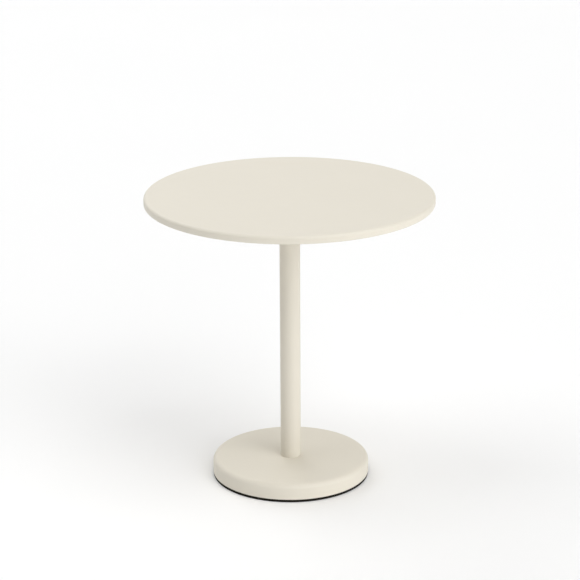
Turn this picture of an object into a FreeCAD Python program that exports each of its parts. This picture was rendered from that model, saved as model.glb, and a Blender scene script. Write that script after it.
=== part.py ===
import FreeCAD, Part

import math
import os

# Round pedestal cafe table in sheet steel. A pressed top is stiffened by four ribs and screwed to a
# cross plate. A tie rod inside the column clamps cross plate, column, base cover and cast base weight
# into one stack. A black rubber ring shows below the cover's edge, and four screw feet level the table.
# Frame: millimetres, +Z up, origin on the floor under the column's axis.

# Driving dimensions
TOP_DIAMETER = 700.0
TABLE_HEIGHT = 720.0
TOP_RIM_HEIGHT = 19.0
COLUMN_DIAMETER = 50.0
BASE_DIAMETER = 386.0
BASE_HEIGHT = 45.8

# Sheet-metal top
TOP_SHEET = 2.0
TOP_EDGE_RADIUS = 7.0
TOP_HEM_RADIUS = 3.0
TOP_HEM_WIDTH = 12.0
BEND_INSIDE_RADIUS = 1.0

# Stiffening ribs: hat section, crown downwards
RIB_COUNT = 4
RIB_SHEET = 1.5
RIB_DEPTH = 9.0
RIB_CROWN_WIDTH = 32.0
RIB_FLANGE_WIDTH = 11.0
RIB_WALL_LEAN = 3.0
RIB_INNER_END = 34.0
RIB_OUTER_END = 322.0

# Cross plate under the ribs and its screws
PLATE_THICKNESS = 4.0
PLATE_ARM_WIDTH = 46.0
PLATE_SPAN = 430.0
PLATE_HUB_DIAMETER = 120.0
PLATE_CORNER_RADIUS = 30.0
PLATE_SPIGOT_DIAMETER = 30.0
SCREW_CIRCLE_RADII = (95.0, 190.0)
SCREW_RADIUS = 3.0
SCREW_LENGTH = 10.0
SCREW_TIP_CHAMFER = 0.5
SCREW_HEAD_RADIUS = 5.7
SCREW_HEAD_HEIGHT = 3.3
SCREW_FLANGE_RADIUS = 6.8
SCREW_FLANGE_THICKNESS = 1.0
SCREW_SOCKET_FLATS = 4.0
SCREW_SOCKET_DEPTH = 2.0
SCREW_HOLE_RADIUS = 3.3
WELD_NUT_FLATS = 10.0
WELD_NUT_HEIGHT = 5.0

# Column and the tie rod inside it
COLUMN_WALL = 2.0
HUB_LENGTH = 30.0
HUB_CHAMFER = 2.0
SPIGOT_RECESS = 1.0
BUSH_STANDS_PROUD = 25.0
BUSH_SEAT_DEPTH = 6.0
BUSH_SEAT_CHAMFER = 1.0
BUSH_LEAD_IN = (2.0, 4.0)
SLIP = 0.05
TIE_ROD_RADIUS = 6.0
TIE_ROD_CHAMFER = 1.0
TIE_ROD_BOTTOM = 9.0
TIE_ROD_TOP_GAP = 6.0
THREAD_CLEARANCE = 0.04
ROD_PASS_EASE = 0.5
CLAMP_WASHER_RADIUS = 25.0
CLAMP_WASHER_THICKNESS = 4.0
CLAMP_WASHER_CHAMFER = 0.6
SPRING_WASHER_EASE = 0.3
SPRING_WASHER_WIDTH = 4.0
SPRING_WASHER_THICKNESS = 2.5
SPRING_WASHER_SLIT = 2.0
SPRING_WASHER_SLIT_LEAN = 25.0
CLAMP_NUT_FLATS = 18.0
CLAMP_NUT_HEIGHT = 10.8
HEXAGON_CORNER_EASE = 0.55

# Base: cover, rubber ring, weight
COVER_SHEET = 2.0
COVER_EDGE_RADIUS = 12.0
COVER_EDGE_HEIGHT = 7.0
COVER_HOLE_EASE = 0.3
RING_BOTTOM = 0.3
RING_HEIGHT = 17.7
RING_WALL = 4.0
RING_ROUNDING = 1.0
RING_SETBACK = 0.5
WEIGHT_UNDERSIDE = 8.8
WEIGHT_THICKNESS = 17.7
WEIGHT_CHAMFER = 4.0
WEIGHT_BOSS_RADIUS = 52.0
WEIGHT_BOSS_BLEND = 6.0
WEIGHT_BOSS_CHAMFER = 1.0
WEIGHT_NUT_POCKET_RADIUS = 30.0
WEIGHT_NUT_POCKET_DEPTH = 19.7
WEIGHT_RIB_COUNT = 8
WEIGHT_RIB_WIDTH = 8.0
WEIGHT_RIB_REACH = 174.0
WEIGHT_RIB_ROOT = 2.0
WEIGHT_RIB_DROP = 4.0
WEIGHT_RIB_OUTER_HEIGHT = 5.0
WEIGHT_RIB_OUTER_RUN = 12.0

# Levelling feet
FOOT_COUNT = 4
FOOT_CIRCLE_RADIUS = 148.0
FOOT_BOSS_RADIUS = 17.0
FOOT_BOSS_TOP = 33.0
FOOT_THREAD_RADIUS = 5.0
FOOT_THREAD_LENGTH = 20.0
FOOT_THREAD_CHAMFER = 1.0
FOOT_COLLAR_FLATS = 17.0
FOOT_COLLAR_HEIGHT = 2.9
FOOT_COLLAR_GAP = 0.2
FOOT_NECK_RADIUS = 6.0
FOOT_DISC_RADIUS = 10.0
FOOT_DISC_HEIGHT = 1.8
PAD_RADIUS = 17.0
PAD_HEIGHT = 5.2
PAD_FLOOR_THICKNESS = 2.0
PAD_ROUNDING = 1.0
PAD_CLEARANCE = 0.08

# How far a cutting shape runs past the faces that it opens
OVERCUT = 1.0

# Levels that follow from the driving dimensions
TOP_RADIUS = TOP_DIAMETER / 2
TOP_UNDERSIDE = TABLE_HEIGHT - TOP_SHEET
RIM_BOTTOM = TABLE_HEIGHT - TOP_RIM_HEIGHT
RIB_BOTTOM = TOP_UNDERSIDE - RIB_DEPTH
PLATE_BOTTOM = RIB_BOTTOM - PLATE_THICKNESS
COLUMN_RADIUS = COLUMN_DIAMETER / 2
COLUMN_BORE_RADIUS = COLUMN_RADIUS - COLUMN_WALL
COVER_RADIUS = BASE_DIAMETER / 2
COVER_UNDERSIDE = BASE_HEIGHT - COVER_SHEET
RING_LIP_RADIUS = COVER_RADIUS - RING_SETBACK
RING_TONGUE_RADIUS = COVER_RADIUS - COVER_SHEET
RING_INNER_RADIUS = RING_TONGUE_RADIUS - RING_WALL
WEIGHT_RADIUS = RING_INNER_RADIUS - SLIP
BUSH_RADIUS = COLUMN_BORE_RADIUS - SLIP
BUSH_BOTTOM = COVER_UNDERSIDE - BUSH_SEAT_DEPTH
NUT_POCKET_TOP = WEIGHT_UNDERSIDE + WEIGHT_NUT_POCKET_DEPTH
CLAMP_WASHER_BOTTOM = NUT_POCKET_TOP - CLAMP_WASHER_THICKNESS
SPRING_WASHER_BOTTOM = CLAMP_WASHER_BOTTOM - SPRING_WASHER_THICKNESS
CLAMP_NUT_BOTTOM = SPRING_WASHER_BOTTOM - CLAMP_NUT_HEIGHT
ROD_THREAD_RADIUS = TIE_ROD_RADIUS + THREAD_CLEARANCE
ROD_PASS_RADIUS = TIE_ROD_RADIUS + ROD_PASS_EASE
FOOT_COLLAR_TOP = WEIGHT_UNDERSIDE - FOOT_COLLAR_GAP
FOOT_COLLAR_BOTTOM = FOOT_COLLAR_TOP - FOOT_COLLAR_HEIGHT

UP = FreeCAD.Vector(0, 0, 1)
CENTRE = FreeCAD.Vector(0, 0, 0)


def at(x, y, z):
    return FreeCAD.Vector(x, y, z)


class Outline:
    """A closed outline in the XZ plane, given as (radius, height) points, to be turned about Z."""

    def __init__(self, radius, height):
        self.start = self.here = at(radius, 0, height)
        self.edges = []

    def line(self, radius, height):
        there = at(radius, 0, height)
        self.edges.append(Part.LineSegment(self.here, there).toShape())
        self.here = there
        return self

    def arc(self, radius, height, centre):
        """A round of less than half a turn, about centre (radius, height)."""
        there = at(radius, 0, height)
        middle = at(centre[0], 0, centre[1])
        reach = (self.here - middle).Length
        bisector = (self.here - middle) + (there - middle)
        halfway = middle + bisector.normalize() * reach
        self.edges.append(Part.Arc(self.here, halfway, there).toShape())
        self.here = there
        return self

    def turned(self):
        if (self.here - self.start).Length > 1e-7:
            self.line(self.start.x, self.start.z)
        return Part.Face(Part.Wire(self.edges)).revolve(CENTRE, UP, 360)


def cylinder(radius, bottom, top, x=0.0, y=0.0):
    return Part.makeCylinder(radius, top - bottom, at(x, y, bottom))


def through_hole(radius, bottom, top, x=0.0, y=0.0):
    """The cylinder that cuts a hole right through from bottom to top."""
    return cylinder(radius, bottom - OVERCUT, top + OVERCUT, x, y)


def ring(outer, inner, bottom, top):
    return cylinder(outer, bottom, top).cut(through_hole(inner, bottom, top))


def circles(shape, radius=None):
    """The shape's round edges, or only those of one radius."""
    found = [e for e in shape.Edges if e.Curve.TypeId == "Part::GeomCircle"]
    return [e for e in found if radius is None or abs(e.Curve.Radius - radius) < 1e-6]


def hexagon(flats, bottom, top, x=0.0, y=0.0):
    """A hexagonal prism, flats being its width across flats."""
    corner = flats / math.sqrt(3)
    turns = [math.radians(60 * i) for i in range(7)]
    points = [at(x + corner * math.cos(a), y + corner * math.sin(a), bottom) for a in turns]
    return Part.Face(Part.makePolygon(points)).extrude(UP * (top - bottom))


def eased_hexagon(flats, bottom, top, x=0.0, y=0.0):
    """A hexagon whose corners are turned off at both ends, as on a nut."""
    corner = flats / math.sqrt(3)
    ease = HEXAGON_CORNER_EASE * (corner - flats / 2)
    limit = cylinder(corner, bottom, top, x, y)
    limit = limit.makeChamfer(ease, circles(limit))
    return hexagon(flats, bottom, top, x, y).common(limit)


def turned_to(shape, degrees):
    copy = shape.copy()
    copy.rotate(CENTRE, UP, degrees)
    return copy


def around(shape, count):
    """Copies of shape, evenly spaced round the column's axis."""
    return [turned_to(shape, i * 360.0 / count) for i in range(count)]


def upright_edges(shape, distance):
    """The straight upright edges that stand at this distance from the Z axis."""
    found = []
    for edge in shape.Edges:
        a, b = edge.Vertexes[0].Point, edge.Vertexes[-1].Point
        upright = math.dist(a[:2], b[:2]) < 1e-6 < abs(a.z - b.z)
        if upright and abs(math.hypot(a.x, a.y) - distance) < 1e-3:
            found.append(edge)
    return found


# Top


def make_top_shell():
    """Pressed disc with a rounded shoulder, a straight rim and a hem turned inwards at the bottom."""
    r, t, e, h = TOP_RADIUS, TOP_SHEET, TOP_EDGE_RADIUS, TOP_HEM_RADIUS
    shoulder = (r - e, TABLE_HEIGHT - e)
    hem = (r - h, RIM_BOTTOM + h)
    outline = Outline(0, TABLE_HEIGHT)
    outline.line(r - e, TABLE_HEIGHT)
    outline.arc(r, TABLE_HEIGHT - e, shoulder)
    outline.line(r, RIM_BOTTOM + h)
    outline.arc(r - h, RIM_BOTTOM, hem)
    outline.line(r - TOP_HEM_WIDTH, RIM_BOTTOM)
    outline.line(r - TOP_HEM_WIDTH, RIM_BOTTOM + t)
    outline.line(r - h, RIM_BOTTOM + t)
    outline.arc(r - t, RIM_BOTTOM + h, hem)
    outline.line(r - t, TABLE_HEIGHT - e)
    outline.arc(r - e, TOP_UNDERSIDE, shoulder)
    outline.line(0, TOP_UNDERSIDE)
    return outline.turned()


def make_top_rib():
    """Hat-section rib along +X: flanges on the top's underside, crown on the cross plate."""
    half_crown = RIB_CROWN_WIDTH / 2
    half_mouth = half_crown + RIB_WALL_LEAN
    half_width = half_mouth + RIB_FLANGE_WIDTH
    wall = RIB_SHEET
    high, low = TOP_UNDERSIDE, RIB_BOTTOM
    half = [
        (half_width, high),
        (half_width, high - wall),
        (half_mouth, high - wall),
        (half_crown, low),
    ]
    inside = [(half_crown - wall, low + wall), (half_mouth - wall, high)]
    section = half + [(-y, z) for y, z in reversed(half)]
    section += [(-y, z) for y, z in reversed(inside)] + inside
    points = [at(RIB_INNER_END, y, z) for y, z in section]
    rib = Part.Face(Part.makePolygon(points + points[:1])).extrude(at(RIB_OUTER_END - RIB_INNER_END, 0, 0))
    bends = []
    for edge in rib.Edges:
        a, b = edge.Vertexes[0].Point, edge.Vertexes[-1].Point
        along = abs(a.x - b.x) > 1
        inner = abs(a.z - (high - wall)) < 1e-6 and abs(abs(a.y) - half_mouth) < 1e-6
        outer = abs(a.z - low) < 1e-6
        if along and (inner or outer):
            bends.append(edge)
    rib = rib.makeFillet(BEND_INSIDE_RADIUS, bends)
    for radius in SCREW_CIRCLE_RADII:
        rib = rib.cut(through_hole(SCREW_HOLE_RADIUS, low, low + wall, radius))
    return rib


def screw_places():
    """(x, y) of every cross-plate screw."""
    quarter = 2 * math.pi / RIB_COUNT
    return [
        (radius * math.cos(i * quarter), radius * math.sin(i * quarter))
        for i in range(RIB_COUNT)
        for radius in SCREW_CIRCLE_RADII
    ]


def make_weld_nut(x, y):
    bottom = RIB_BOTTOM + RIB_SHEET
    top = bottom + WELD_NUT_HEIGHT
    return eased_hexagon(WELD_NUT_FLATS, bottom, top, x, y).cut(
        through_hole(SCREW_RADIUS + THREAD_CLEARANCE, bottom, top, x, y)
    )


def make_plate_screw(x, y):
    """Button-head flange screw with a hexagon socket, driven up through the cross plate."""
    face = PLATE_BOTTOM
    flange = face - SCREW_FLANGE_THICKNESS
    dome = SCREW_HEAD_HEIGHT - SCREW_FLANGE_THICKNESS
    crown = face - SCREW_HEAD_HEIGHT
    tip = face + SCREW_LENGTH
    ease = SCREW_TIP_CHAMFER
    outline = Outline(0, tip)
    outline.line(SCREW_RADIUS - ease, tip)
    outline.line(SCREW_RADIUS, tip - ease)
    outline.line(SCREW_RADIUS, face)
    outline.line(SCREW_FLANGE_RADIUS, face)
    outline.line(SCREW_FLANGE_RADIUS, flange)
    outline.line(SCREW_HEAD_RADIUS, flange)
    outline.arc(SCREW_HEAD_RADIUS - dome, crown, (SCREW_HEAD_RADIUS - dome, flange))
    outline.line(0, crown)
    socket = hexagon(SCREW_SOCKET_FLATS, crown - OVERCUT, crown + SCREW_SOCKET_DEPTH)
    screw = outline.turned().cut(socket)
    screw.translate(at(x, y, 0))
    return screw


def make_cross_plate():
    """Laser-cut steel cross with round ends, one arm under each rib."""
    low, high = PLATE_BOTTOM, RIB_BOTTOM
    half = PLATE_ARM_WIDTH / 2
    end = PLATE_SPAN / 2 - half
    arm = Part.makeBox(end, PLATE_ARM_WIDTH, high - low, at(0, -half, low))
    arm = arm.fuse(cylinder(half, low, high, end))
    plate = cylinder(PLATE_HUB_DIAMETER / 2, low, high)
    for copy in around(arm, RIB_COUNT):
        plate = plate.fuse(copy)
    plate = plate.removeSplitter()
    plate = plate.makeFillet(PLATE_CORNER_RADIUS, upright_edges(plate, PLATE_HUB_DIAMETER / 2))
    for x, y in screw_places():
        plate = plate.cut(through_hole(SCREW_HOLE_RADIUS, low, high, x, y))
    return plate.cut(through_hole(PLATE_SPIGOT_DIAMETER / 2, low, high))


def make_cross_plate_hub():
    """Tapped boss welded into the cross plate. It centres the column's upper end and holds the rod."""
    spigot = PLATE_SPIGOT_DIAMETER / 2
    low = PLATE_BOTTOM - HUB_LENGTH
    high = RIB_BOTTOM - SPIGOT_RECESS
    outline = Outline(ROD_THREAD_RADIUS, low)
    outline.line(BUSH_RADIUS - HUB_CHAMFER, low)
    outline.line(BUSH_RADIUS, low + HUB_CHAMFER)
    outline.line(BUSH_RADIUS, PLATE_BOTTOM)
    outline.line(spigot, PLATE_BOTTOM)
    outline.line(spigot, high)
    outline.line(ROD_THREAD_RADIUS, high)
    return outline.turned()


# Column and tie rod


def make_column_tube():
    return ring(COLUMN_RADIUS, COLUMN_BORE_RADIUS, BASE_HEIGHT, PLATE_BOTTOM)


def make_column_foot_bush():
    """Turned bush that centres the column's lower end on the cover and the weight."""
    high = BASE_HEIGHT + BUSH_STANDS_PROUD
    ease = BUSH_SEAT_CHAMFER
    taper, taper_height = BUSH_LEAD_IN
    outline = Outline(ROD_PASS_RADIUS, BUSH_BOTTOM)
    outline.line(BUSH_RADIUS - ease, BUSH_BOTTOM)
    outline.line(BUSH_RADIUS, BUSH_BOTTOM + ease)
    outline.line(BUSH_RADIUS, high - taper_height)
    outline.line(BUSH_RADIUS - taper, high)
    outline.line(ROD_PASS_RADIUS, high)
    return outline.turned()


def make_tie_rod():
    high = RIB_BOTTOM - TIE_ROD_TOP_GAP
    rod = cylinder(TIE_ROD_RADIUS, TIE_ROD_BOTTOM, high)
    return rod.makeChamfer(TIE_ROD_CHAMFER, circles(rod))


def make_clamp_washer():
    washer = ring(CLAMP_WASHER_RADIUS, ROD_PASS_RADIUS, CLAMP_WASHER_BOTTOM, NUT_POCKET_TOP)
    return washer.makeChamfer(CLAMP_WASHER_CHAMFER, circles(washer, CLAMP_WASHER_RADIUS))


def make_spring_washer():
    """Split ring, squeezed flat, with a slanted slit on its +X side."""
    low, high = SPRING_WASHER_BOTTOM, CLAMP_WASHER_BOTTOM
    thick, gap = SPRING_WASHER_THICKNESS, SPRING_WASHER_SLIT
    inner = TIE_ROD_RADIUS + SPRING_WASHER_EASE
    outer = inner + SPRING_WASHER_WIDTH
    slit = Part.makeBox(2 * outer, gap, 4 * thick, at(0, -gap / 2, low - thick))
    slit.rotate(at(0, 0, (low + high) / 2), at(1, 0, 0), SPRING_WASHER_SLIT_LEAN)
    return ring(outer, inner, low, high).cut(slit)


def make_clamp_nut():
    nut = eased_hexagon(CLAMP_NUT_FLATS, CLAMP_NUT_BOTTOM, SPRING_WASHER_BOTTOM)
    return nut.cut(through_hole(ROD_THREAD_RADIUS, CLAMP_NUT_BOTTOM, SPRING_WASHER_BOTTOM))


# Base


def make_base_cover():
    """Deep-drawn cover with a rounded shoulder, open underneath, with a hole for the foot bush."""
    r, t, e = COVER_RADIUS, COVER_SHEET, COVER_EDGE_RADIUS
    shoulder = (r - e, BASE_HEIGHT - e)
    hole = COLUMN_BORE_RADIUS + COVER_HOLE_EASE
    outline = Outline(hole, BASE_HEIGHT)
    outline.line(r - e, BASE_HEIGHT)
    outline.arc(r, BASE_HEIGHT - e, shoulder)
    outline.line(r, COVER_EDGE_HEIGHT)
    outline.line(r - t, COVER_EDGE_HEIGHT)
    outline.line(r - t, BASE_HEIGHT - e)
    outline.arc(r - e, COVER_UNDERSIDE, shoulder)
    outline.line(hole, COVER_UNDERSIDE)
    return outline.turned()


def make_base_ring():
    """Rubber ring. Its tongue is squeezed between cover and weight, and the cover rests on its lip."""
    lip, tongue, inner = RING_LIP_RADIUS, RING_TONGUE_RADIUS, RING_INNER_RADIUS
    low, high = RING_BOTTOM, RING_BOTTOM + RING_HEIGHT
    k = RING_ROUNDING
    outline = Outline(inner + k, low)
    outline.line(lip - k, low)
    outline.arc(lip, low + k, (lip - k, low + k))
    outline.line(lip, COVER_EDGE_HEIGHT)
    outline.line(tongue, COVER_EDGE_HEIGHT)
    outline.line(tongue, high)
    outline.line(inner, high)
    outline.line(inner, low + k)
    outline.arc(inner + k, low, (inner + k, low + k))
    return outline.turned()


def foot_places():
    """(x, y) of every levelling foot, on the diagonals."""
    step = 2 * math.pi / FOOT_COUNT
    turns = [step / 2 + i * step for i in range(FOOT_COUNT)]
    return [(FOOT_CIRCLE_RADIUS * math.cos(a), FOOT_CIRCLE_RADIUS * math.sin(a)) for a in turns]


def make_weight_rib():
    """One rib along +X, sloping from the weight's centre boss down to the height of a foot boss."""
    deck = WEIGHT_UNDERSIDE + WEIGHT_THICKNESS
    root = deck - WEIGHT_RIB_ROOT
    inner = WEIGHT_BOSS_RADIUS - WEIGHT_RIB_DROP
    profile = [
        at(inner, 0, root),
        at(WEIGHT_RIB_REACH, 0, root),
        at(WEIGHT_RIB_REACH, 0, deck),
        at(WEIGHT_RIB_REACH - WEIGHT_RIB_OUTER_RUN, 0, deck + WEIGHT_RIB_OUTER_HEIGHT),
        at(inner, 0, COVER_UNDERSIDE - WEIGHT_RIB_DROP),
    ]
    rib = Part.Face(Part.makePolygon(profile + profile[:1])).extrude(at(0, WEIGHT_RIB_WIDTH, 0))
    rib.translate(at(0, -WEIGHT_RIB_WIDTH / 2, 0))
    return rib


def make_base_weight():
    """Cast-iron disc. A centre boss carries the cover, and ribs run out to the tapped foot bosses."""
    low, deck = WEIGHT_UNDERSIDE, WEIGHT_UNDERSIDE + WEIGHT_THICKNESS
    r, c = WEIGHT_RADIUS, WEIGHT_CHAMFER
    boss, blend, ease = WEIGHT_BOSS_RADIUS, WEIGHT_BOSS_BLEND, WEIGHT_BOSS_CHAMFER
    outline = Outline(0, low)
    outline.line(r - c / 2, low)
    outline.line(r, low + c / 2)
    outline.line(r, deck - c)
    outline.line(r - c, deck)
    outline.line(boss + blend, deck)
    outline.arc(boss, deck + blend, (boss + blend, deck + blend))
    outline.line(boss, COVER_UNDERSIDE - ease)
    outline.line(boss - ease, COVER_UNDERSIDE)
    outline.line(0, COVER_UNDERSIDE)
    weight = outline.turned().fuse(around(make_weight_rib(), WEIGHT_RIB_COUNT))
    root = deck - WEIGHT_RIB_ROOT
    weight = weight.fuse([cylinder(FOOT_BOSS_RADIUS, root, FOOT_BOSS_TOP, x, y) for x, y in foot_places()])

    cuts = [
        through_hole(ROD_PASS_RADIUS, low, COVER_UNDERSIDE),
        cylinder(COLUMN_BORE_RADIUS, BUSH_BOTTOM, COVER_UNDERSIDE + OVERCUT),
        cylinder(WEIGHT_NUT_POCKET_RADIUS, low - OVERCUT, NUT_POCKET_TOP),
    ]
    tapped = FOOT_THREAD_RADIUS + SLIP
    cuts += [through_hole(tapped, low, FOOT_BOSS_TOP, x, y) for x, y in foot_places()]
    return weight.cut(cuts).removeSplitter()


# Levelling feet


def make_foot_stem(x, y):
    """Threaded stud with a hexagon collar to turn it and a disc that is captive in the pad."""
    disc_low = PAD_FLOOR_THICKNESS + PAD_CLEARANCE
    disc_high = disc_low + FOOT_DISC_HEIGHT
    tip = FOOT_COLLAR_TOP + FOOT_THREAD_LENGTH
    thread, neck, ease = FOOT_THREAD_RADIUS, FOOT_NECK_RADIUS, FOOT_THREAD_CHAMFER
    inside_collar = (FOOT_COLLAR_BOTTOM + FOOT_COLLAR_TOP) / 2
    outline = Outline(0, disc_low)
    outline.line(FOOT_DISC_RADIUS, disc_low)
    outline.line(FOOT_DISC_RADIUS, disc_high)
    outline.line(neck, disc_high)
    outline.line(neck, inside_collar)
    outline.line(thread, inside_collar)
    outline.line(thread, tip - ease)
    outline.line(thread - ease, tip)
    outline.line(0, tip)
    stem = outline.turned().fuse(eased_hexagon(FOOT_COLLAR_FLATS, FOOT_COLLAR_BOTTOM, FOOT_COLLAR_TOP))
    stem = stem.removeSplitter()
    stem.translate(at(x, y, 0))
    return stem


def make_foot_pad(x, y):
    """Glide that snaps over the stem's disc and stays still on the floor while the stem turns."""
    r, k, gap = PAD_RADIUS, PAD_ROUNDING, PAD_CLEARANCE
    cavity = FOOT_DISC_RADIUS + gap
    mouth = FOOT_NECK_RADIUS + gap
    floor = PAD_FLOOR_THICKNESS
    lip = floor + FOOT_DISC_HEIGHT + 2 * gap
    outline = Outline(0, 0)
    outline.line(r - k, 0)
    outline.arc(r, k, (r - k, k))
    outline.line(r, PAD_HEIGHT - k)
    outline.arc(r - k, PAD_HEIGHT, (r - k, PAD_HEIGHT - k))
    outline.line(mouth, PAD_HEIGHT)
    outline.line(mouth, lip)
    outline.line(cavity, lip)
    outline.line(cavity, floor)
    outline.line(0, floor)
    pad = outline.turned()
    pad.translate(at(x, y, 0))
    return pad


def parts():
    """Every node's name and shape. Identical small fasteners share a node, as separate solids."""
    made = {
        "top_shell": make_top_shell(),
        "top_weld_nuts": Part.makeCompound([make_weld_nut(x, y) for x, y in screw_places()]),
        "cross_plate": make_cross_plate(),
        "cross_plate_hub": make_cross_plate_hub(),
        "cross_plate_screws": Part.makeCompound([make_plate_screw(x, y) for x, y in screw_places()]),
        "column_tube": make_column_tube(),
        "column_foot_bush": make_column_foot_bush(),
        "tie_rod": make_tie_rod(),
        "tie_rod_washer": make_clamp_washer(),
        "tie_rod_spring_washer": make_spring_washer(),
        "tie_rod_nut": make_clamp_nut(),
        "base_cover": make_base_cover(),
        "base_ring": make_base_ring(),
        "base_weight": make_base_weight(),
    }
    for number, rib in enumerate(around(make_top_rib(), RIB_COUNT), 1):
        made[f"top_rib_{number}"] = rib
    for number, (x, y) in enumerate(foot_places(), 1):
        made[f"foot_stem_{number}"] = make_foot_stem(x, y)
        made[f"foot_pad_{number}"] = make_foot_pad(x, y)
    return made


def main():
    os.makedirs("parts", exist_ok=True)
    for name, shape in parts().items():
        solids = shape.Solids
        sound = all(s.isValid() and s.isClosed() and s.Volume > 0 for s in solids)
        box = shape.BoundBox
        print(f"{name:24s} {len(solids):2d} solid(s), {shape.Volume / 1000:9.2f} cm3, ", end="")
        print(f"z {box.ZMin:7.2f} to {box.ZMax:7.2f}, {'sound' if sound else 'BROKEN'}")
        shape.exportStep(f"parts/{name}.step")


main()
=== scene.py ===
import math

import bmesh
import bpy
from mathutils import Matrix, Vector


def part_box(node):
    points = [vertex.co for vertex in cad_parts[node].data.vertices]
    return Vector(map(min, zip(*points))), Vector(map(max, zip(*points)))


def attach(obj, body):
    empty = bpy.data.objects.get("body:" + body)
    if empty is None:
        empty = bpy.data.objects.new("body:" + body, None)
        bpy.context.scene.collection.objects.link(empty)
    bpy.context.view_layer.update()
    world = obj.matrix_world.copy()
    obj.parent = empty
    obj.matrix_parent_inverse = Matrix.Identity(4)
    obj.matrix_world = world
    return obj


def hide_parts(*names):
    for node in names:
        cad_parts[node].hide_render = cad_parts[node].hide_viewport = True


# Round pedestal cafe table: powder-coated steel top, column and base cover, with a black rubber ring
# under the base's edge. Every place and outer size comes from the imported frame. The values below are
# the finer details, in metres unless they say otherwise.

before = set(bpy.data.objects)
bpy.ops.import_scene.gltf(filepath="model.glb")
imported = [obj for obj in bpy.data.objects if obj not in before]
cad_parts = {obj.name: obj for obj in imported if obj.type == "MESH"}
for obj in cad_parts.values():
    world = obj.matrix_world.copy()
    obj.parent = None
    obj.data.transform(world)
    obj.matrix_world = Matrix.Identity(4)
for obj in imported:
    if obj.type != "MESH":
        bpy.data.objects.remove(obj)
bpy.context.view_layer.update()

MM = 0.001
ROOT = "table"
FEET = (1, 2, 3, 4)
RIBS = (1, 2, 3, 4)

# Sheet-metal details
TOP_SHEET = 2.0 * MM
TOP_EDGE_RADIUS = 7.0 * MM
TOP_HEM_RADIUS = 3.0 * MM
TOP_HEM_WIDTH = 12.0 * MM
COVER_SHEET = 2.0 * MM
COVER_EDGE_RADIUS = 12.0 * MM
COVER_HOLE_EASE = 0.3 * MM
COLUMN_WALL = 2.0 * MM
CUT_EDGE = 0.35 * MM
EASED_END = 0.15 * MM
HOLDING_LOOP = 0.5 * MM

# How much each machined, cut or cast piece's sharp edges are rounded off
PLATE_EDGE = 0.5 * MM
HUB_EDGE = 0.4 * MM
SCREW_EDGE = 0.15 * MM
WELD_NUT_EDGE = 0.2 * MM
BUSH_EDGE = 0.4 * MM
CASTING_EDGE = 1.2 * MM
FOOT_STEM_EDGE = 0.25 * MM

# Angles in degrees: what counts as an edge to bevel, as a flat to merge, and as a hard edge in shading
BEVEL_ANGLE = 30.0
CASTING_BEVEL_ANGLE = 25.0
FLAT_ANGLE = 0.5
HARD_ANGLE = 40.0
RIB_HARD_ANGLE = 50.0
THREAD_HARD_ANGLE = 55.0
SPOT_WELD_HARD_ANGLE = 60.0
WELD_BEAD_HARD_ANGLE = 70.0

# How strongly large faces win over bevels when normals are averaged, from 1 to 100
FLATS_WEIGHT = 100

# Rubber ring section
RING_WALL = 4.0 * MM
RING_FOOT_ROUNDING = 1.0 * MM
RING_TOP_ROUNDING = 0.4 * MM
RING_LIP_ROUNDING = 0.25 * MM
RING_BUTT_GAP = 0.25 * MM

# How close together vertices count as one, and how short an edge counts as nothing
SAME_PLACE_CAD = 0.001 * MM
SAME_PLACE = 0.0001 * MM
NO_LENGTH = 0.00001 * MM

# Mesh fineness
ROUND_STEPS = 8
BIG_TURN = 288
COLUMN_TURN = 160
PAD_TURN = 200
THREAD_SEGMENTS = 36
THREAD_ROWS = 8

# A thread's profile, as shares of its depth: how fast the groove deepens over one pitch away from the
# crest, how far it is held back so that the crest is flat, and how far below the root an end starts
THREAD_FLANK = 2.4
THREAD_CREST = 0.1
THREAD_END_DROP = 0.1


# Outlines


def corner(r, z, rounding=0.0):
    return (r, z, rounding)


def rounded(corners, steps=ROUND_STEPS):
    """A closed outline of points from (radius, height, rounding) corners, with each rounding an arc.

    A point is added just outside each arc, so that the flats beside it stay flat when shaded."""
    points = []
    count = len(corners)
    for i in range(count):
        before, here, after = (Vector(corners[j % count][:2]) for j in (i - 1, i, i + 1))
        rounding = corners[i][2]
        if rounding <= 0:
            points.append(here)
            continue
        to_before, to_after = (before - here).normalized(), (after - here).normalized()
        half = to_before.angle(to_after) / 2
        reach = rounding / math.tan(half)
        centre = here + (to_before + to_after).normalized() * (rounding / math.sin(half))
        start, end = here + to_before * reach, here + to_after * reach
        room_before = (before - here).length - reach
        room_after = (after - here).length - reach
        if room_before > 4 * HOLDING_LOOP:
            points.append(start + to_before * HOLDING_LOOP)
        sweep = (start - centre).angle_signed(end - centre)
        for k in range(steps + 1):
            spoke = (start - centre).copy()
            spoke.rotate(Matrix.Rotation(-sweep * k / steps, 2))
            points.append(centre + spoke)
        if room_after > 4 * HOLDING_LOOP:
            points.append(end + to_after * HOLDING_LOOP)
    return points


def inset(outline, distance):
    """A clockwise outline moved inwards by a small distance, for an eased end."""
    moved = []
    for i, here in enumerate(outline):
        along = (outline[(i + 1) % len(outline)] - outline[i - 1]).normalized()
        moved.append(here + Vector((along.y, -along.x)) * distance)
    return moved


# Mesh building


def add_rings(bm, rings, closed_along=False):
    """Quads between rings of vertices. Each ring is closed and has the same number of places."""
    made = [[bm.verts.new(place) for place in ring] for ring in rings]
    count = len(made[0])
    last = len(made) if closed_along else len(made) - 1
    for i in range(last):
        low, high = made[i], made[(i + 1) % len(made)]
        for j in range(count):
            k = (j + 1) % count
            bm.faces.new((low[j], low[k], high[k], high[j]))
    return made


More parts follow.
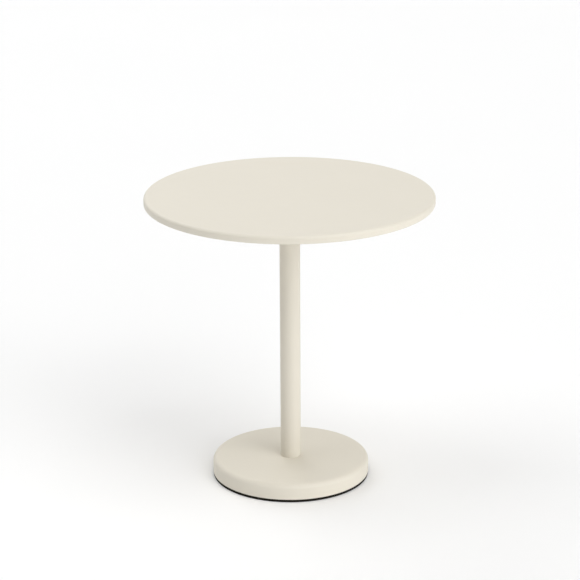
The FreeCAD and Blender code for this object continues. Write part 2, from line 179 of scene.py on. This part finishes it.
def spun(outline, angle, centre=(0.0, 0.0), reshape=None):
    """One ring of places: a (radius, height) outline turned to this angle about centre."""
    ring = []
    for radius, height in outline:
        r = reshape(radius, angle) if reshape else radius
        ring.append((centre[0] + r * math.cos(angle), centre[1] + r * math.sin(angle), height))
    return ring


def turned(bm, outline, segments, centre=(0.0, 0.0), reshape=None):
    """Turns a closed outline all the way round. reshape(radius, angle) may change each radius."""
    angles = [2 * math.pi * j / segments for j in range(segments)]
    add_rings(bm, [spun(outline, a, centre, reshape) for a in angles], closed_along=True)


def capped(bm, rings):
    """A closed tube of rings whose two ends are flat faces."""
    made = add_rings(bm, rings)
    ends = [bm.faces.new(list(reversed(made[0]))), bm.faces.new(made[-1])]
    bmesh.ops.triangulate(bm, faces=[face for face in ends if len(face.verts) > 4])


def piece_from(bm, name, body, material, nodes=(), sharp_angle=HARD_ANGLE):
    """Closes up a bmesh, makes it an object, and gives it its body and material."""
    bmesh.ops.remove_doubles(bm, verts=bm.verts, dist=SAME_PLACE)
    bmesh.ops.dissolve_degenerate(bm, dist=NO_LENGTH, edges=bm.edges)
    bmesh.ops.recalc_face_normals(bm, faces=bm.faces)
    mesh = bpy.data.meshes.new(name)
    bm.to_mesh(mesh)
    bm.free()
    mesh.shade_smooth()
    mesh.set_sharp_from_angle(angle=math.radians(sharp_angle))
    mesh.materials.append(material)
    piece = bpy.data.objects.new(name, mesh)
    bpy.context.collection.objects.link(piece)
    level = piece.modifiers.new("level_flats", "WEIGHTED_NORMAL")
    level.weight = FLATS_WEIGHT
    level.keep_sharp = True
    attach(piece, body)
    if nodes:
        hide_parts(*nodes)


def radius_and_levels(node):
    """A round node's outer radius, bottom and top."""
    low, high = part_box(node)
    return (max(high[0] - low[0], high[1] - low[1]) / 2, low[2], high[2])


def middle_of(node):
    low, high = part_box(node)
    return ((low[0] + high[0]) / 2, (low[1] + high[1]) / 2)


def softened(node, width, steps=2, sharp_angle=BEVEL_ANGLE):
    """A bmesh of a CAD node with flat faces merged and sharp edges rounded off."""
    bm = bmesh.new()
    bm.from_mesh(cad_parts[node].data)
    bmesh.ops.remove_doubles(bm, verts=bm.verts, dist=SAME_PLACE_CAD)
    flat = math.radians(FLAT_ANGLE)
    bmesh.ops.dissolve_limit(bm, angle_limit=flat, verts=bm.verts, edges=bm.edges)
    limit = math.radians(sharp_angle)
    sharp = [e for e in bm.edges if len(e.link_faces) == 2 and e.calc_face_angle(0) > limit]
    bmesh.ops.bevel(
        bm, geom=sharp, offset=width, segments=steps, profile=0.5, affect="EDGES", clamp_overlap=True
    )
    return bm


def add_thread(bm, centre, radius, pitch, depth, stretches):
    """A stud along Z, with a helical thread over each marked stretch and a chamfer at both ends.

    stretches is a list of (bottom, top, threaded), from the lowest up."""
    low, high = stretches[0][0], stretches[-1][1]
    root = radius - depth
    rings = []
    for bottom, top, threaded in stretches:
        count = round((top - bottom) / pitch * THREAD_ROWS) if threaded else 1
        last = 1 if top == high else 0
        for i in range(count + last):
            z = bottom + (top - bottom) * i / count
            chamfer = root - THREAD_END_DROP * depth + min(z - low, high - z)
            ring = []
            for j in range(THREAD_SEGMENTS):
                phase = (z / pitch - j / THREAD_SEGMENTS) % 1.0
                flank = THREAD_FLANK * abs(phase - 0.5) - THREAD_CREST
                groove = min(1.0, max(0.0, flank)) if threaded else 0.0
                r = min(radius - depth * groove, chamfer)
                a = 2 * math.pi * j / THREAD_SEGMENTS
                ring.append((centre[0] + r * math.cos(a), centre[1] + r * math.sin(a), z))
            rings.append(ring)
    capped(bm, rings)


# Materials


class Shader:
    """One material and the few node calls that the finishes below share."""

    def __init__(self, name, metallic=0.0, specular=0.5):
        self.material = bpy.data.materials.new(name)
        self.material.use_nodes = True
        self.nodes = self.material.node_tree.nodes
        self.links = self.material.node_tree.links
        self.surface = self.nodes["Principled BSDF"]
        self.surface.inputs["Metallic"].default_value = metallic
        self.surface.inputs["Specular IOR Level"].default_value = specular
        self.place = self.nodes.new("ShaderNodeTexCoord").outputs["Object"]

    def noise(self, scale, detail=2.0, roughness=0.5, stretch=None):
        """Noise whose grain is 1 / scale metres."""
        node = self.nodes.new("ShaderNodeTexNoise")
        node.inputs["Scale"].default_value = scale
        node.inputs["Detail"].default_value = detail
        node.inputs["Roughness"].default_value = roughness
        place = self.place
        if stretch:
            mapping = self.nodes.new("ShaderNodeMapping")
            mapping.inputs["Scale"].default_value = stretch
            self.links.new(place, mapping.inputs["Vector"])
            place = mapping.outputs["Vector"]
        self.links.new(place, node.inputs["Vector"])
        return node.outputs["Fac"]

    def between(self, value, low, high, start=0.3, end=0.7):
        """Maps a noise value from start..end to low..high."""
        node = self.nodes.new("ShaderNodeMapRange")
        node.inputs["From Min"].default_value = start
        node.inputs["From Max"].default_value = end
        node.inputs["To Min"].default_value = low
        node.inputs["To Max"].default_value = high
        self.links.new(value, node.inputs["Value"])
        return node.outputs["Result"]

    def blend(self, value, first, second):
        """Mixes two colours by a value from 0 to 1. Either may be a socket."""
        node = self.nodes.new("ShaderNodeMix")
        node.data_type = "RGBA"
        self.links.new(value, node.inputs["Factor"])
        for socket, colour in ((node.inputs["A"], first), (node.inputs["B"], second)):
            if isinstance(colour, tuple):
                socket.default_value = (*colour, 1.0)
            else:
                self.links.new(colour, socket)
        return node.outputs["Result"]

    def add(self, first, second, weight):
        """first + weight * second."""
        node = self.nodes.new("ShaderNodeMath")
        node.operation = "MULTIPLY_ADD"
        self.links.new(second, node.inputs[0])
        node.inputs[1].default_value = weight
        self.links.new(first, node.inputs[2])
        return node.outputs["Value"]

    def colour(self, socket):
        self.links.new(socket, self.surface.inputs["Base Color"])

    def roughness(self, socket):
        self.links.new(socket, self.surface.inputs["Roughness"])

    def bump(self, height, distance, strength=1.0):
        node = self.nodes.new("ShaderNodeBump")
        node.inputs["Strength"].default_value = strength
        node.inputs["Distance"].default_value = distance
        self.links.new(height, node.inputs["Height"])
        self.links.new(node.outputs["Normal"], self.surface.inputs["Normal"])


def toned(colour, factor):
    return tuple(min(1.0, c * factor) for c in colour)


def powder_coat():
    """Fine matt powder: soft orange peel, a powder grain, and tone that drifts very slightly."""
    cream = (0.780, 0.735, 0.635)
    paint = Shader("powder_coat_cream", specular=0.45)
    drift = paint.between(paint.noise(5.0, detail=3.0), 0.0, 1.0)
    grain = paint.between(paint.noise(1600.0, detail=1.0), 0.0, 1.0)
    tone = paint.blend(drift, toned(cream, 0.988), toned(cream, 1.008))
    paint.colour(paint.blend(grain, tone, toned(cream, 0.985)))
    paint.roughness(paint.between(paint.noise(40.0, detail=3.0), 0.50, 0.57))
    peel = paint.noise(330.0, detail=1.0)
    powder = paint.noise(1800.0, detail=2.0)
    paint.bump(paint.add(peel, powder, 0.35), distance=0.00005, strength=0.5)
    return paint.material


def edge_rubber():
    """Matt black extruded rubber, with faint drawing lines round the base and a dusty tone."""
    black = (0.0105, 0.0085, 0.0060)
    rubber = Shader("edge_rubber_black", specular=0.16)
    dust = rubber.between(rubber.noise(60.0, detail=4.0), 0.0, 1.0, 0.35, 0.75)
    rubber.colour(rubber.blend(dust, black, toned(black, 1.6)))
    rubber.roughness(rubber.between(rubber.noise(150.0, detail=2.0), 0.66, 0.80))
    lines = rubber.noise(60.0, detail=3.0, stretch=(1.0, 1.0, 40.0))
    rubber.bump(rubber.add(lines, rubber.noise(1500.0), 0.4), distance=0.0001, strength=0.5)
    return rubber.material


def zinc_plate():
    """Bright zinc plate with faint blue and straw tints."""
    zinc = Shader("zinc_plate", metallic=1.0)
    tint = zinc.between(zinc.noise(90.0, detail=3.0), 0.0, 1.0)
    zinc.colour(zinc.blend(tint, (0.58, 0.60, 0.63), (0.62, 0.61, 0.58)))
    zinc.roughness(zinc.between(zinc.noise(260.0, detail=4.0), 0.30, 0.42))
    zinc.bump(zinc.noise(1400.0, detail=3.0), distance=0.00004, strength=0.5)
    return zinc.material


def cast_iron():
    """Sand-cast iron under black lacquer."""
    iron = Shader("cast_iron_lacquered", specular=0.5)
    worn = iron.between(iron.noise(35.0, detail=5.0, roughness=0.6), 0.0, 1.0, 0.45, 0.75)
    iron.colour(iron.blend(worn, (0.012, 0.012, 0.013), (0.040, 0.036, 0.033)))
    iron.roughness(iron.between(iron.noise(120.0, detail=4.0), 0.38, 0.66))
    sand = iron.add(iron.noise(420.0, detail=4.0, roughness=0.65), iron.noise(60.0, detail=2.0), 1.2)
    iron.bump(sand, distance=0.0007, strength=0.8)
    return iron.material


def black_primer():
    """Satin black dip primer on the cross plate and its hub."""
    primer = Shader("black_dip_primer", specular=0.5)
    drift = primer.between(primer.noise(25.0, detail=3.0), 0.0, 1.0)
    primer.colour(primer.blend(drift, (0.016, 0.016, 0.017), (0.026, 0.026, 0.027)))
    primer.roughness(primer.between(primer.noise(70.0, detail=3.0), 0.34, 0.46))
    primer.bump(primer.noise(500.0, detail=2.0), distance=0.00006, strength=0.5)
    return primer.material


def glide_nylon():
    """Moulded black nylon with a spark-eroded texture."""
    nylon = Shader("glide_nylon_black", specular=0.4)
    drift = nylon.between(nylon.noise(180.0, detail=3.0), 0.0, 1.0)
    nylon.colour(nylon.blend(drift, (0.020, 0.020, 0.021), (0.034, 0.033, 0.032)))
    nylon.roughness(nylon.between(nylon.noise(400.0, detail=2.0), 0.48, 0.64))
    nylon.bump(nylon.noise(2200.0, detail=3.0, roughness=0.6), distance=0.00008, strength=0.7)
    return nylon.material


def pale_floor():
    """The studio floor: white, with the faintest tone so that it isn't a flat fill."""
    floor = Shader("studio_floor", specular=0.2)
    drift = floor.between(floor.noise(0.7, detail=2.0), 0.0, 1.0)
    floor.colour(floor.blend(drift, (0.970, 0.970, 0.970), (0.978, 0.978, 0.976)))
    floor.roughness(floor.between(floor.noise(30.0, detail=2.0), 0.78, 0.86))
    return floor.material


POWDER = powder_coat()
RUBBER = edge_rubber()
ZINC = zinc_plate()
IRON = cast_iron()
PRIMER = black_primer()
NYLON = glide_nylon()


# Top


def make_top_shell():
    r, low, high = radius_and_levels("top_shell")
    t = TOP_SHEET
    inner = r - t
    bend = TOP_EDGE_RADIUS - t
    outline = rounded([
        corner(0.0, high),
        corner(r, high, TOP_EDGE_RADIUS),
        corner(r, low, TOP_HEM_RADIUS),
        corner(r - TOP_HEM_WIDTH, low, CUT_EDGE),
        corner(r - TOP_HEM_WIDTH, low + t, CUT_EDGE),
        corner(inner, low + t, TOP_HEM_RADIUS - t),
        corner(inner, high - t, bend),
        corner(0.0, high - t),
    ], steps=10)
    bm = bmesh.new()
    turned(bm, outline, BIG_TURN)
    piece_from(bm, "top_shell_pressing", ROOT, POWDER, ["top_shell"])


RIB_WALL = 1.5 * MM
RIB_CROWN_HALF = 16.0 * MM
RIB_MOUTH_HALF = 19.0 * MM
RIB_BEND = 1.0 * MM
SPOT_WELD_PITCH = 36.0 * MM
SPOT_WELD_RADIUS = 2.6 * MM
SPOT_WELD_RING = 0.7 * MM
SPOT_WELD_HEIGHT = 0.22 * MM
SPOT_WELD_SINK = 0.1 * MM
SPOT_WELD_STEPS = 24


def rib_section(half, low, high):
    """The hat's closed outline across the rib: (sideways, height), crown at the bottom."""
    w = RIB_WALL
    outer = [
        corner(half, high, CUT_EDGE),
        corner(half, high - w, CUT_EDGE),
        corner(RIB_MOUTH_HALF, high - w, RIB_BEND),
        corner(RIB_CROWN_HALF, low, RIB_BEND + w),
    ]
    inner = [
        corner(RIB_CROWN_HALF - w, low + w, RIB_BEND),
        corner(RIB_MOUTH_HALF - w, high, RIB_BEND + w),
    ]
    section = outer + [(-y, z, k) for y, z, k in reversed(outer)]
    section += [(-y, z, k) for y, z, k in reversed(inner)] + inner
    return rounded(section, steps=5)


def rib_frame(number):
    """The turn that carries a rib lying along +X to where rib `number` lies."""
    return Matrix.Rotation(2 * math.pi * (number - 1) / len(RIBS), 4, "Z")


def make_rib(number):
    low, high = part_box("top_rib_1")
    section = rib_section((high[1] - low[1]) / 2, low[2], high[2])
    eased = inset(section, EASED_END)
    stations = [
        (low[0], eased),
        (low[0] + EASED_END, section),
        (high[0] - EASED_END, section),
        (high[0], eased),
    ]
    bm = bmesh.new()
    capped(bm, [[(x, y, z) for y, z in outline] for x, outline in stations])
    bmesh.ops.transform(bm, matrix=rib_frame(number), verts=bm.verts)
    name = f"top_rib_{number}"
    piece_from(bm, f"{name}_channel", ROOT, POWDER, [name], sharp_angle=RIB_HARD_ANGLE)


def spot_weld_outline(face):
    """Half a weld mark hanging from a face: a low centre inside a raised ring."""
    r, ring, tall = SPOT_WELD_RADIUS, SPOT_WELD_RING, SPOT_WELD_HEIGHT
    sunk = face + SPOT_WELD_SINK
    return [
        (0.0, sunk),
        (r + ring, sunk),
        (r + 0.7 * ring, face - 0.3 * tall),
        (r + 0.3 * ring, face - tall),
        (r - 0.4 * ring, face - tall),
        (r - ring, face - 0.25 * tall),
        (0.5 * r, face - 0.1 * tall),
        (0.0, face - 0.1 * tall),
    ]


def make_spot_welds():
    """The shallow ringed marks that spot welding leaves along both flanges of every rib."""
    low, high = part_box("top_rib_1")
    flange_middle = (RIB_MOUTH_HALF + RIB_BEND + high[1]) / 2
    outline = spot_weld_outline(high[2] - RIB_WALL)
    length = high[0] - low[0]
    count = int(length / SPOT_WELD_PITCH)
    start = low[0] + (length - (count - 1) * SPOT_WELD_PITCH) / 2
    bm = bmesh.new()
    for number in RIBS:
        for i in range(count):
            for side in (-1, 1):
                spot = rib_frame(number) @ Vector((start + i * SPOT_WELD_PITCH, side * flange_middle, 0.0))
                turned(bm, outline, SPOT_WELD_STEPS, centre=(spot.x, spot.y))
    piece_from(bm, "top_rib_spot_welds", ROOT, POWDER, sharp_angle=SPOT_WELD_HARD_ANGLE)


def make_cross_plate():
    bm = softened("cross_plate", PLATE_EDGE, steps=3)
    piece_from(bm, "cross_plate_laser_cut", ROOT, PRIMER, ["cross_plate"])


def make_cross_plate_hub():
    bm = softened("cross_plate_hub", HUB_EDGE)
    piece_from(bm, "cross_plate_hub_turned", ROOT, PRIMER, ["cross_plate_hub"])


HUB_SPIGOT_RADIUS = 15.0 * MM
HUB_BEAD_RADIUS = 1.5 * MM
HUB_BEAD_FLATNESS = 0.7
HUB_BEAD_SINK = 0.8 * MM
HUB_BEAD_RIPPLES = 64
HUB_BEAD_RIPPLE_SIZE = 0.10
HUB_BEAD_UNEVENNESS = 0.8
HUB_BEAD_STEPS_PER_RIPPLE = 6
HUB_BEAD_SIDES = 12


def make_hub_weld():
    """The rippled weld bead that fills the step between the hub's spigot and the cross plate."""
    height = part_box("cross_plate")[1][2] - HUB_BEAD_SINK
    steps = HUB_BEAD_RIPPLES * HUB_BEAD_STEPS_PER_RIPPLE
    rings = []
    for j in range(steps):
        a = 2 * math.pi * j / steps
        ripple = math.sin(HUB_BEAD_RIPPLES * a + HUB_BEAD_UNEVENNESS * math.sin(3 * a))
        bead = HUB_BEAD_RADIUS * (1.0 + HUB_BEAD_RIPPLE_SIZE * ripple)
        outline = []
        for k in range(HUB_BEAD_SIDES):
            b = 2 * math.pi * k / HUB_BEAD_SIDES
            rise = HUB_BEAD_FLATNESS * bead * math.sin(b)
            outline.append((HUB_SPIGOT_RADIUS + bead * math.cos(b), height + rise))
        rings.append(spun(outline, a))
    bm = bmesh.new()
    add_rings(bm, rings, closed_along=True)
    piece_from(bm, "cross_plate_hub_weld", ROOT, PRIMER, sharp_angle=WELD_BEAD_HARD_ANGLE)


def make_plate_screws():
    bm = softened("cross_plate_screws", SCREW_EDGE)
    piece_from(bm, "cross_plate_screw_set", ROOT, ZINC, ["cross_plate_screws"])


def make_weld_nuts():
    bm = softened("top_weld_nuts", WELD_NUT_EDGE)
    piece_from(bm, "top_weld_nut_set", ROOT, ZINC, ["top_weld_nuts"])


# Column and tie rod


def make_column():
    r, low, high = radius_and_levels("column_tube")
    outline = rounded([
        corner(r, high, CUT_EDGE),
        corner(r, low, CUT_EDGE),
        corner(r - COLUMN_WALL, low, CUT_EDGE),
        corner(r - COLUMN_WALL, high, CUT_EDGE),
    ], steps=4)
    bm = bmesh.new()
    turned(bm, outline, COLUMN_TURN)
    piece_from(bm, "column_tube_coated", ROOT, POWDER, ["column_tube"])


def make_foot_bush():
    bm = softened("column_foot_bush", BUSH_EDGE)
    piece_from(bm, "column_foot_bush_turned", ROOT, ZINC, ["column_foot_bush"])


ROD_PITCH = 1.75 * MM
ROD_THREAD_DEPTH = 1.0 * MM
ROD_THREAD_LENGTH = 42.0 * MM


def make_tie_rod():
    r, low, high = radius_and_levels("tie_rod")
    stretches = [
        (low, low + ROD_THREAD_LENGTH, True),
        (low + ROD_THREAD_LENGTH, high - ROD_THREAD_LENGTH, False),
        (high - ROD_THREAD_LENGTH, high, True),
    ]
    bm = bmesh.new()
    add_thread(bm, (0.0, 0.0), r, ROD_PITCH, ROD_THREAD_DEPTH, stretches)
    piece_from(bm, "tie_rod_threaded", ROOT, ZINC, ["tie_rod"], sharp_angle=THREAD_HARD_ANGLE)


# How much the sharp edges of each piece of the clamp are rounded off
CLAMP_EDGES = {
    "tie_rod_washer": 0.4 * MM,
    "tie_rod_spring_washer": 0.25 * MM,
    "tie_rod_nut": 0.3 * MM,
}


def make_clamp_stack():
    """The washer, spring washer and nut under the weight."""
    for node, edge in CLAMP_EDGES.items():
        piece_from(softened(node, edge), f"{node}_plated", ROOT, ZINC, [node])


# Base


def make_base_cover():
    r, low, high = radius_and_levels("base_cover")
    t = COVER_SHEET
    hole = radius_and_levels("column_tube")[0] - COLUMN_WALL + COVER_HOLE_EASE
    outline = rounded([
        corner(hole, high, CUT_EDGE),
        corner(r, high, COVER_EDGE_RADIUS),
        corner(r, low, CUT_EDGE),
        corner(r - t, low, CUT_EDGE),
        corner(r - t, high - t, COVER_EDGE_RADIUS - t),
        corner(hole, high - t, CUT_EDGE),
    ], steps=14)
    bm = bmesh.new()
    turned(bm, outline, BIG_TURN)
    piece_from(bm, "base_cover_drawn", ROOT, POWDER, ["base_cover"])


def make_base_ring():
    """The extruded rubber ring, with the butt joint of its two ends at the back."""
    r, low, high = radius_and_levels("base_ring")
    cover_radius, cover_edge, _ = radius_and_levels("base_cover")
    tongue = cover_radius - COVER_SHEET
    outline = rounded([
        corner(r, low, RING_FOOT_ROUNDING),
        corner(tongue - RING_WALL, low, RING_FOOT_ROUNDING),
        corner(tongue - RING_WALL, high, RING_TOP_ROUNDING),
        corner(tongue, high, RING_TOP_ROUNDING),
        corner(tongue, cover_edge),
        corner(r, cover_edge, RING_LIP_ROUNDING),
    ], steps=5)
    eased = inset(outline, EASED_END)
    half_gap = RING_BUTT_GAP / 2 / r
    ease = EASED_END / r
    start = math.pi / 2 + half_gap
    sweep = 2 * math.pi - 2 * half_gap
    stations = [(start, eased)]
    for j in range(BIG_TURN + 1):
        stations.append((start + ease + (sweep - 2 * ease) * j / BIG_TURN, outline))
    stations.append((start + sweep, eased))
    bm = bmesh.new()
    capped(bm, [spun(section, angle) for angle, section in stations])
    piece_from(bm, "base_ring_rubber", ROOT, RUBBER, ["base_ring"])


def make_base_weight():
    bm = softened("base_weight", CASTING_EDGE, steps=3, sharp_angle=CASTING_BEVEL_ANGLE)
    piece_from(bm, "base_weight_casting", ROOT, IRON, ["base_weight"])


# Levelling feet

FOOT_PITCH = 1.5 * MM
FOOT_THREAD_DEPTH = 0.85 * MM
FOOT_THREAD_RADIUS = 5.0 * MM
FOOT_COLLAR_GAP = 0.2 * MM
FOOT_STUD_START = 0.6 * MM
FOOT_NECK_RADIUS = 6.0 * MM
PAD_SLIP = 0.08 * MM
PAD_FLOOR = 2.0 * MM
PAD_LIP = 3.96 * MM
PAD_DISC_RADIUS = 10.0 * MM
PAD_ROUNDING = 1.0 * MM
PAD_MOUTH_ROUNDING = 0.4 * MM
PAD_SOCKET_ROUNDING = 0.1 * MM
PAD_RELIEF = 0.5 * MM
PAD_RELIEF_ROUNDING = 0.3 * MM
PAD_RELIEF_INNER = 0.55
PAD_RELIEF_OUTER = 0.62
PAD_FLUTES = 20
PAD_FLUTE_DEPTH = 0.2 * MM


def make_foot_stem(number):
    """A zinc-plated levelling screw: disc, neck and hexagon collar, with a real thread above them."""
    node = f"foot_stem_{number}"
    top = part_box(node)[1][2]
    collar_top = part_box("base_weight")[0][2] - FOOT_COLLAR_GAP
    bm = softened(node, FOOT_STEM_EDGE)
    stud = [v for v in bm.verts if v.co.z > collar_top + FOOT_STUD_START]
    bmesh.ops.delete(bm, geom=stud, context="VERTS")
    bmesh.ops.holes_fill(bm, edges=[e for e in bm.edges if e.is_boundary])
    stretches = [(collar_top - FOOT_PITCH / 3, top, True)]
    add_thread(bm, middle_of(node), FOOT_THREAD_RADIUS, FOOT_PITCH, FOOT_THREAD_DEPTH, stretches)
    piece_from(bm, f"{node}_plated", f"foot_{number}_screw", ZINC, [node])


def make_foot_pad(number):
    """A moulded glide: fluted rim, a socket for the screw's disc and a relieved underside."""
    node = f"foot_pad_{number}"
    r, low, high = radius_and_levels(node)
    mouth = FOOT_NECK_RADIUS + PAD_SLIP
    cavity = PAD_DISC_RADIUS + PAD_SLIP
    outline = rounded([
        corner(0.0, low + PAD_RELIEF),
        corner(PAD_RELIEF_INNER * r, low + PAD_RELIEF, PAD_RELIEF_ROUNDING),
        corner(PAD_RELIEF_OUTER * r, low, PAD_RELIEF_ROUNDING),
        corner(r, low, PAD_ROUNDING),
        corner(r, high, PAD_ROUNDING),
        corner(mouth, high, PAD_MOUTH_ROUNDING),
        corner(mouth, low + PAD_LIP, PAD_SOCKET_ROUNDING),
        corner(cavity, low + PAD_LIP, PAD_SOCKET_ROUNDING),
        corner(cavity, low + PAD_FLOOR, PAD_SOCKET_ROUNDING),
        corner(0.0, low + PAD_FLOOR),
    ], steps=4)

    def fluted(radius, angle):
        if radius < r - PAD_ROUNDING / 2:
            return radius
        return radius - PAD_FLUTE_DEPTH * (0.5 - 0.5 * math.cos(PAD_FLUTES * angle)) ** 2

    bm = bmesh.new()
    turned(bm, outline, PAD_TURN, middle_of(node), fluted)
    piece_from(bm, f"{node}_moulded", f"foot_{number}_glide", NYLON, [node])


FLOOR_HALF_WIDTH = 40.0


def make_floor():
    bm = bmesh.new()
    bmesh.ops.create_grid(bm, x_segments=8, y_segments=8, size=FLOOR_HALF_WIDTH)
    mesh = bpy.data.meshes.new("floor")
    bm.to_mesh(mesh)
    bm.free()
    mesh.materials.append(pale_floor())
    floor = bpy.data.objects.new("floor", mesh)
    bpy.context.collection.objects.link(floor)


# Light and camera

# Azimuth is in degrees from +X towards +Y, seen from above. The key light is low on the front right.
SUN_SPREAD = 44.0
SUNS = {
    "key_low": {"azimuth": 330, "elevation": 10, "strength": 1.0},
    "key_middle": {"azimuth": 300, "elevation": 30, "strength": 0.7},
    "key_high": {"azimuth": 315, "elevation": 55, "strength": 0.65},
    "overhead": {"azimuth": 0, "elevation": 85, "strength": 0.45},
    "overhead_left": {"azimuth": 180, "elevation": 55, "strength": 0.7},
    "fill_left": {"azimuth": 120, "elevation": 30, "strength": 0.75},
    "fill_back": {"azimuth": 90, "elevation": 30, "strength": 0.25},
}
SKY_STRENGTH = 0.2


def make_sun(name, azimuth, elevation, strength):
    light = bpy.data.lights.new(name, "SUN")
    light.energy = strength
    light.angle = math.radians(SUN_SPREAD)
    sun = bpy.data.objects.new(name, light)
    a, e = math.radians(azimuth), math.radians(elevation)
    towards_light = Vector((math.cos(e) * math.cos(a), math.cos(e) * math.sin(a), math.sin(e)))
    sun.rotation_euler = towards_light.to_track_quat("Z", "Y").to_euler()
    bpy.context.collection.objects.link(sun)


def make_lights():
    for name, light in SUNS.items():
        make_sun(name, **light)
    world = bpy.data.worlds.new("studio")
    world.use_nodes = True
    sky = world.node_tree.nodes["Background"]
    sky.inputs["Color"].default_value = (1.0, 1.0, 1.0, 1.0)
    sky.inputs["Strength"].default_value = SKY_STRENGTH
    bpy.context.scene.world = world
    bpy.context.scene.view_settings.view_transform = "Standard"


CAMERA_BACK = 5.0
CAMERA_HEIGHT = 2.1426
CAMERA_PITCH = 0.3215
CAMERA_ROLL = -0.0047
CAMERA_LENS = 134.5


def make_camera():
    data = bpy.data.cameras.new("camera")
    data.sensor_width = 36.0
    data.lens = CAMERA_LENS
    camera = bpy.data.objects.new("camera", data)
    camera.location = (0.0, -CAMERA_BACK, CAMERA_HEIGHT)
    turn = Matrix.Rotation(math.pi / 2 - CAMERA_PITCH, 3, "X") @ Matrix.Rotation(CAMERA_ROLL, 3, "Z")
    camera.rotation_euler = turn.to_euler()
    bpy.context.collection.objects.link(camera)
    bpy.context.scene.camera = camera


make_top_shell()
for rib in RIBS:
    make_rib(rib)
make_spot_welds()
make_cross_plate()
make_cross_plate_hub()
make_hub_weld()
make_plate_screws()
make_weld_nuts()
make_column()
make_foot_bush()
make_tie_rod()
make_clamp_stack()
make_base_cover()
make_base_ring()
make_base_weight()
for foot in FEET:
    make_foot_stem(foot)
    make_foot_pad(foot)
make_floor()
make_lights()
make_camera()
